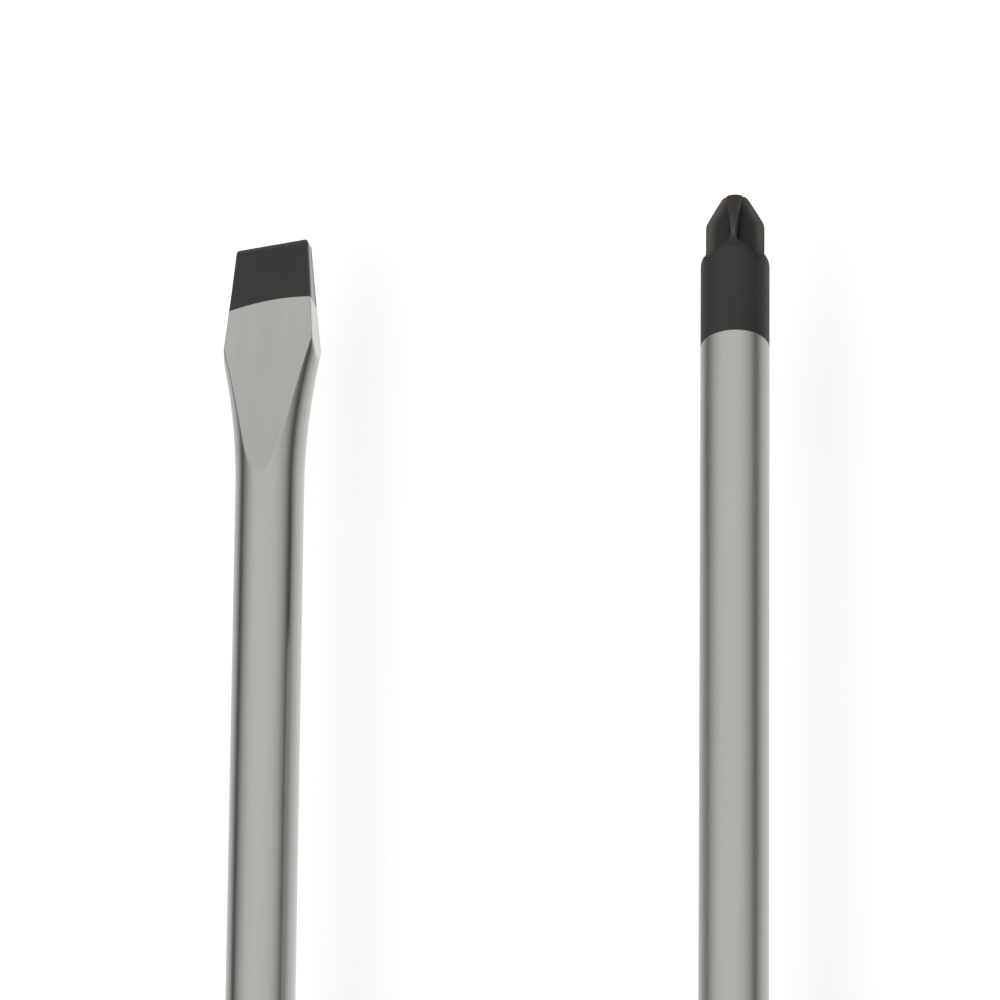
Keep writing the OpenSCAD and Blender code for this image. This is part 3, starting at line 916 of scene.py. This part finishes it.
class Finish:
    """A material with a Principled shader, object coordinates and calls that add nodes to it."""

    def __init__(self, name, roughness, metallic=0.0):
        self.material = bpy.data.materials.new(name)
        self.material.use_nodes = True
        self.tree = self.material.node_tree
        self.shader = self.tree.nodes["Principled BSDF"]
        self.shader.inputs["Roughness"].default_value = roughness
        self.shader.inputs["Metallic"].default_value = metallic
        self.sums = Sums(self.tree)
        self.place = self.tree.nodes.new("ShaderNodeTexCoord").outputs["Object"]

    def filled(self, node, links):
        """A node with its inputs filled; an underscore in a name stands for a space."""
        for label, value in links.items():
            fill(self.tree, node.inputs[label.replace("_", " ")], value)
        return node

    def node(self, kind, **links):
        return self.filled(self.tree.nodes.new(kind), links)

    def group(self, tree, **links):
        """The outputs of a shader group."""
        node = self.tree.nodes.new("ShaderNodeGroup")
        node.node_tree = tree
        return self.filled(node, links).outputs

    def mark(self, label):
        """A mark that the mesh carries on its points."""
        node = self.tree.nodes.new("ShaderNodeAttribute")
        node.attribute_name = label
        return node.outputs["Fac"]

    def blend(self, mask, first, second):
        """A colour between two colours, each given as red, green and blue or as a socket."""
        mix = self.tree.nodes.new("ShaderNodeMix")
        mix.data_type = "RGBA"
        self.tree.links.new(mask, mix.inputs[0])
        for index, value in ((MIX_FIRST, first), (MIX_SECOND, second)):
            colour = (*value, 1.0) if isinstance(value, tuple) else value
            fill(self.tree, mix.inputs[index], colour)
        return mix.outputs[MIX_RESULT]

    def ramp(self, value, low, high, to_low, to_high):
        """A value taken from one range to another, held at the ends."""
        node = self.node("ShaderNodeMapRange", Value=value, From_Min=low, From_Max=high,
                         To_Min=to_low, To_Max=to_high)
        return node.outputs[0]

    def spread(self, noise, to_low=0.0, to_high=1.0):
        """The middle part of a noise, spread over a whole range."""
        return self.ramp(noise, *NOISE_MIDDLE, to_low, to_high)

    def bump(self, height, depth, strength):
        """Bumps on the surface, of a depth in millimetres."""
        node = self.node("ShaderNodeBump", Height=height, Distance=depth * MM, Strength=strength)
        self.feed("Normal", node.outputs[0])

    def feed(self, label, socket):
        self.tree.links.new(socket, self.shader.inputs[label])


def plated_steel(driver, grain, wear):
    """Satin chrome with a matt black finish over the end of the blade.

    The black ends on a bulged, leaning line. It is rubbed along its edges, where it also carries a
    painted highlight, darkened by painted shade in the flutes and faintly brown at the very end. The
    slotted tip's sides are partly bare and carry a painted highlight.
    """
    own = BLADE_FINISH[driver.name]
    polish = own["polish"]
    look = Finish(driver.name + "_blade_steel", polish, 1.0)
    do = look.sums.do
    fine = look.group(grain, Vector=look.place, **STEEL_NOISE)
    stretched = look.node("ShaderNodeMapping", Vector=look.place, Scale=(1.0, LINE_SQUEEZE, 1.0))
    lines = look.group(grain, Vector=stretched.outputs[0], **LINE_NOISE)
    place = look.node("ShaderNodeSeparateXYZ", Vector=look.place)
    from_tip = do("SUBTRACT", driver.axis.y + BLADE_L * MM, place.outputs["Y"])
    sideways = do("DIVIDE", do("SUBTRACT", place.outputs["X"], driver.axis.x), SHANK_R * MM)
    arc = do("MULTIPLY", do("MULTIPLY", sideways, sideways), own["bulge"] * MM)
    arc = do("SUBTRACT", arc, do("MULTIPLY", sideways, own["lean"] * MM))
    ragged = do("MULTIPLY", do("SUBTRACT", fine["Clouds"], 0.5), BLACK_RAGGED * MM)
    black_end = do("ADD", do("ADD", arc, ragged), (own["black_l"] - own["bulge"]) * MM)
    past = do("SUBTRACT", from_tip, black_end)
    coated = look.ramp(past, -BLACK_BLUR * MM, BLACK_BLUR * MM, 1.0, 0.0)
    bare = do("MULTIPLY", look.mark("side"), SIDE_BARE)
    coated = do("MULTIPLY", coated, do("SUBTRACT", 1.0, bare))
    # Rubbing along edges, partly real wear and partly a painted highlight
    wear_and_highlight = look.group(wear, Edge=look.mark("edge"), Grain=fine["Grain"], Amount=WEAR_AND_HIGHLIGHT_AMOUNT)["Wear and highlight"]
    steel = look.blend(look.spread(lines["Clouds"]), *CHROME)
    # Painted highlight on the slotted tip's sides over their bare steel
    steel = look.blend(look.mark("side"), steel, SIDE_STEEL_AND_HIGHLIGHT)
    black = look.blend(look.spread(fine["Clouds"]), *BLACK)
    black = look.blend(look.ramp(from_tip, 0.0, own["tint_l"] * MM, 1.0, 0.0), black, BROWN_TINT)
    # Painted shade: the black darkens the farther it lies inside a flute
    black = look.blend(look.mark("depth"), black, FLUTE_PAINTED_SHADE)
    black = look.blend(wear_and_highlight, black, WORN_BLACK_AND_HIGHLIGHT)
    look.feed("Base Color", look.blend(coated, steel, black))
    look.feed("Metallic", do("SUBTRACT", 1.0, coated))
    satin = look.spread(lines["Grain"], polish - CHROME_UNEVEN, polish + CHROME_UNEVEN)
    matt = look.spread(fine["Grain"], *BLACK_ROUGHNESS)
    rough = look.node("ShaderNodeMix", Factor=coated, A=satin, B=matt)
    look.feed("Roughness", rough.outputs[0])
    on_black = do("MULTIPLY", fine["Grain"], coated)
    look.bump(do("ADD", on_black, do("MULTIPLY", lines["Grain"], LINE_SHARE)), *STEEL_BUMP)
    return look.material


def moulded_plastic(grain, name, colours, roughness, texture):
    """Hard plastic with slight clouding in its colour and a fine spark-eroded texture."""
    look = Finish(name, roughness)
    fine = look.group(grain, Vector=look.place, **PLASTIC_NOISE)
    look.feed("Base Color", look.blend(look.spread(fine["Clouds"]), *colours))
    smoother, rougher = PLASTIC_UNEVEN
    look.feed("Roughness", look.spread(fine["Grain"], roughness - smoother, roughness + rougher))
    look.bump(fine["Grain"], texture, PLASTIC_BUMP)
    return look.material


def soft_rubber(grain):
    """Matt over-moulded rubber with a fine leathery texture and a faint bloom."""
    look = Finish("soft_grip_rubber", RUBBER_BASE_ROUGHNESS)
    fine = look.group(grain, Vector=look.place, **RUBBER_NOISE)
    cells = look.node("ShaderNodeTexVoronoi", Vector=look.place, Scale=RUBBER_CELLS)
    look.feed("Base Color", look.blend(look.ramp(fine["Clouds"], *RUBBER_CLOUDS, 0.0, 1.0), *RUBBER))
    look.feed("Roughness", look.spread(fine["Grain"], *RUBBER_ROUGHNESS))
    leather = look.sums.do("MULTIPLY", cells.outputs["Distance"], CELL_SHARE)
    look.bump(look.sums.do("ADD", leather, fine["Grain"]), *RUBBER_BUMP)
    look.shader.inputs["Sheen Weight"].default_value = SHEEN
    look.shader.inputs["Sheen Roughness"].default_value = SHEEN_ROUGHNESS
    return look.material


def dress(obj, material):
    """Gives an object one material."""
    obj.data.materials.clear()
    obj.data.materials.append(material)


def hand_over(obj, driver, node, material):
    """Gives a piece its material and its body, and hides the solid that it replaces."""
    dress(obj, material)
    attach(obj, driver.body)
    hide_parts(driver.name + "_" + node)


# The stage

def camera():
    """A long lens above the handles' side, as in the photograph."""
    cross = Driver("cross")
    tip = cross.at((0, BLADE_L, 0))
    level = Vector((math.cos(SWING), 0, -math.sin(SWING)))
    back = Vector((math.sin(SWING) * math.cos(TILT), -math.sin(TILT), math.cos(SWING) * math.cos(TILT)))
    rise = back.cross(level)
    right = level * math.cos(ROLL) + rise * math.sin(ROLL)
    up = back.cross(right)
    distance = FOCAL_PX / PX_PER_MM * MM
    dx = (TIP_PX[0] - IMAGE_PX / 2) / FOCAL_PX * distance
    dy = (IMAGE_PX / 2 - TIP_PX[1]) / FOCAL_PX * distance
    place = tip + back * distance - right * dx - up * dy
    data = bpy.data.cameras.new("camera")
    data.sensor_width = SENSOR_MM
    data.lens = FOCAL_PX / IMAGE_PX * SENSOR_MM
    data.clip_start = CLIP_NEAR
    data.clip_end = CLIP_FAR
    obj = bpy.data.objects.new("camera", data)
    turn = Matrix((right, up, back)).transposed().to_4x4()
    obj.matrix_world = Matrix.Translation(place) @ turn
    bpy.context.scene.collection.objects.link(obj)
    bpy.context.scene.camera = obj


def studio_world():
    """Soft light from above that falls off to dark at the horizon, white behind the object."""
    world = bpy.data.worlds.new("studio")
    world.use_nodes = True
    bpy.context.scene.world = world
    tree = world.node_tree
    ray = tree.nodes.new("ShaderNodeLightPath")
    way = tree.nodes.new("ShaderNodeTexCoord")
    split = tree.nodes.new("ShaderNodeSeparateXYZ")
    tree.links.new(way.outputs["Generated"], split.inputs[0])
    ramp = tree.nodes.new("ShaderNodeValToRGB")
    ramp.color_ramp.interpolation = "EASE"
    stops = ramp.color_ramp.elements
    while len(stops) < len(SURROUNDINGS):
        stops.new(0.5)
    for stop, (height, level) in zip(stops, SURROUNDINGS):
        stop.position = (height + 1) / 2
        stop.color = (level, level, level * SURROUNDINGS_BLUE, 1.0)
    sums = Sums(tree)
    upwards = sums.do("MULTIPLY", sums.do("ADD", split.outputs["Z"], 1.0), 0.5)
    tree.links.new(upwards, ramp.inputs["Fac"])
    mix = tree.nodes.new("ShaderNodeMix")
    mix.data_type = "RGBA"
    tree.links.new(ray.outputs["Is Camera Ray"], mix.inputs[0])
    tree.links.new(ramp.outputs["Color"], mix.inputs[MIX_FIRST])
    mix.inputs[MIX_SECOND].default_value = (1.0, 1.0, 1.0, 1.0)
    tree.links.new(mix.outputs[MIX_RESULT], tree.nodes["Background"].inputs["Color"])


def studio_floor():
    """A plain pale floor that looks white to the eye and keeps the object's shadow.

    The steel mirrors the surroundings' own pale floor, which the object's shadow doesn't reach.
    """
    mesh = bpy.data.meshes.new("floor")
    corners = ((-FLOOR_R, -FLOOR_R), (FLOOR_R, -FLOOR_R), (FLOOR_R, FLOOR_R), (-FLOOR_R, FLOOR_R))
    mesh.from_pydata([(x, y, -FLOOR_GAP * MM) for x, y in corners], [], [(0, 1, 2, 3)])
    floor = bpy.data.objects.new("floor", mesh)
    bpy.context.scene.collection.objects.link(floor)
    floor.visible_glossy = False
    material = bpy.data.materials.new("floor_white")
    material.use_nodes = True
    tree = material.node_tree
    tree.nodes.remove(tree.nodes["Principled BSDF"])
    ray = tree.nodes.new("ShaderNodeLightPath")
    glow = tree.nodes.new("ShaderNodeEmission")
    lift = Sums(tree).do("MULTIPLY", ray.outputs["Is Camera Ray"], FLOOR_LIFT)
    tree.links.new(lift, glow.inputs["Strength"])
    matt = tree.nodes.new("ShaderNodeBsdfDiffuse")
    matt.inputs["Color"].default_value = (FLOOR_GREY, FLOOR_GREY, FLOOR_GREY, 1.0)
    both = tree.nodes.new("ShaderNodeAddShader")
    tree.links.new(matt.outputs[0], both.inputs[0])
    tree.links.new(glow.outputs[0], both.inputs[1])
    tree.links.new(both.outputs[0], tree.nodes["Material Output"].inputs["Surface"])
    dress(floor, material)


def key_light():
    """A square area light above the handles that looks at the pair."""
    data = bpy.data.lights.new("key", "AREA")
    data.shape = "SQUARE"
    data.size = KEY_W
    data.energy = KEY_POWER
    light = bpy.data.objects.new("key", data)
    light.location = KEY_PLACE
    way = Vector(KEY_AIM) - Vector(KEY_PLACE)
    light.rotation_euler = way.to_track_quat("-Z", "Y").to_euler()
    bpy.context.scene.collection.objects.link(light)


camera()
studio_world()
studio_floor()
key_light()
bpy.context.scene.view_settings.view_transform = "Standard"

grain = grain_group()
wear = wear_and_highlight_group()
grooves = groove_tree()
hard = moulded_plastic(grain, *HARD_PLASTIC)
pale = moulded_plastic(grain, *MARKER_PLASTIC)
core = moulded_plastic(grain, *CORE_PLASTIC)
rubber = soft_rubber(grain)

for name, make_blade, bars in (("slotted", slotted_blade, 1), ("cross", cross_blade, 2)):
    driver = Driver(name)
    steel = plated_steel(driver, grain, wear)
    hand_over(make_blade(driver), driver, "blade", steel)
    hand_over(handle_body(driver), driver, "handle_body", hard)
    hand_over(grip(driver, grooves, rubber), driver, "grip", rubber)
    ring = sleeve(name + "_ring_band", driver, RING_U, GRIP_U, BODY_EDGE, RING_STEP)
    hand_over(ring, driver, "marker_ring", pale)
    hand_over(end_cap(driver, bars), driver, "end_cap", pale)
    dress(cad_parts[name + "_handle_core"], core)
